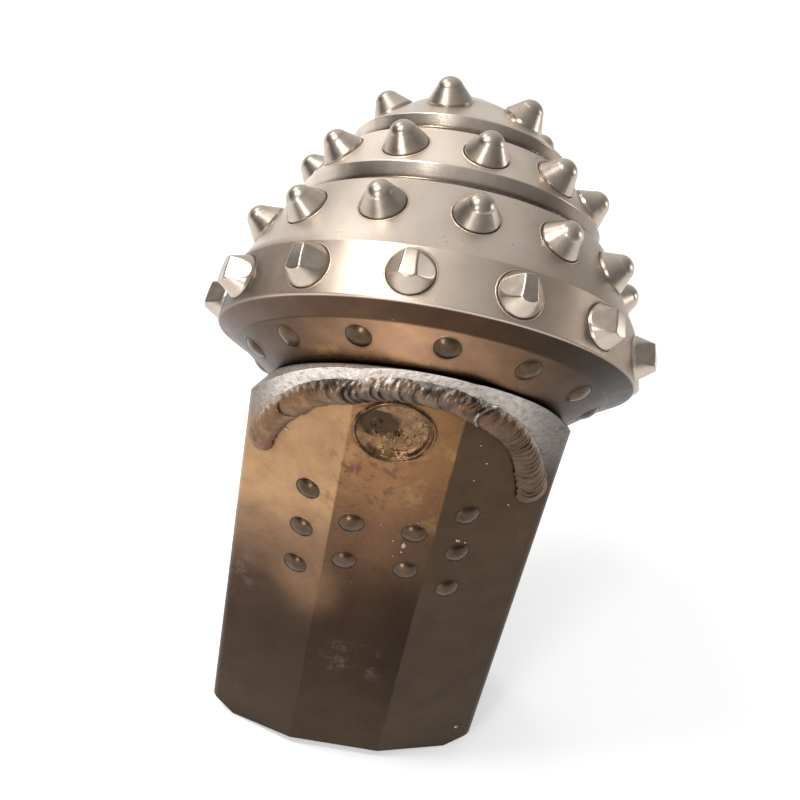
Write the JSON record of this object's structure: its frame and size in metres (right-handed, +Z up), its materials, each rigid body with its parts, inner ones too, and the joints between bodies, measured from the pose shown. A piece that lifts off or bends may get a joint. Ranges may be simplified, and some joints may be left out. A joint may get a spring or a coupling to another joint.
{
  "type": "roller cone cutter",
  "caption": "Leg of a rock bit with its rolling cone, studded with pressed-in carbide inserts, standing on the leg's flat cut end.",
  "frame": {"origin": "middle of the leg's width and depth, on its flat cut end", "axes": "+Z up along the leg towards the cone, -Y out of the leg's outer face, +X to the right when facing the outer face"},
  "size_m": [0.148, 0.1299, 0.2457],
  "materials": {
    "leg_steel": "forged steel with a warm brown film",
    "cone_steel": "turned steel, bead-blasted, warm grey",
    "carbide": "ground tungsten carbide",
    "button_carbide": "tungsten carbide under the same brown film",
    "hardfacing": "rippled weld metal",
    "plug_weld_metal": "weld metal with pores and a crater",
    "bearing_steel": "ground bearing steel",
    "bearing_bronze": "plain bearing bronze",
    "seal_rubber": "nitrile rubber"
  },
  "bodies": {
    "leg_body": {"ball_plug": "bearing_steel", "ball_plug_weld": "plug_weld_metal", "leg": "leg_steel", "leg_button_01": "button_carbide", "leg_button_02": "button_carbide", "leg_button_03": "button_carbide", "leg_button_04": "button_carbide", "leg_button_05": "button_carbide", "leg_button_06": "button_carbide", "leg_button_07": "button_carbide", "leg_button_08": "button_carbide", "leg_button_09": "button_carbide", "leg_button_10": "button_carbide", "shirttail_hardfacing": "hardfacing"},
    "cone_body": {"cone_shell": "cone_steel", "gauge_insert_01": "carbide", "gauge_insert_02": "carbide", "gauge_insert_03": "carbide", "gauge_insert_04": "carbide", "gauge_insert_05": "carbide", "gauge_insert_06": "carbide", "gauge_insert_07": "carbide", "gauge_insert_08": "carbide", "gauge_insert_09": "carbide", "gauge_insert_10": "carbide", "gauge_insert_11": "carbide", "gauge_insert_12": "carbide", "gauge_insert_13": "carbide", "heel_buttons": "button_carbide", "inner_inserts": "carbide", "journal_bushing": "bearing_bronze", "middle_insert_01": "carbide", "middle_insert_02": "carbide", "middle_insert_03": "carbide", "middle_insert_04": "carbide", "middle_insert_05": "carbide", "middle_insert_06": "carbide", "middle_insert_07": "carbide", "middle_insert_08": "carbide", "middle_insert_09": "carbide", "middle_insert_10": "carbide", "middle_insert_11": "carbide", "middle_insert_12": "carbide", "middle_insert_13": "carbide", "nose_insert_01": "carbide", "nose_insert_02": "carbide", "nose_insert_03": "carbide", "nose_insert_04": "carbide", "nose_insert_05": "carbide", "nose_insert_06": "carbide", "pilot_bushing": "bearing_bronze", "seal_ring": "seal_rubber", "thrust_washer": "bearing_bronze"},
    "ball_body": {"retaining_balls": "bearing_steel"}
  },
  "joints": [
    {"name": "cone_spin", "type": "hinge", "parent": "leg_body", "child": "cone_body", "pos_m": [0.0028, 0.004, 0.1689], "axis": [0.0128, 0.817, 0.5764], "continuous": true},
    {"name": "ball_ring_spin", "type": "hinge", "parent": "leg_body", "child": "ball_body", "pos_m": [0.0028, 0.004, 0.1689], "axis": [0.0128, 0.817, 0.5764], "continuous": true}
  ],
  "couplings": [
    {"joint": "ball_ring_spin", "follows": "cone_spin", "ratio": 0.63511}
  ]
}
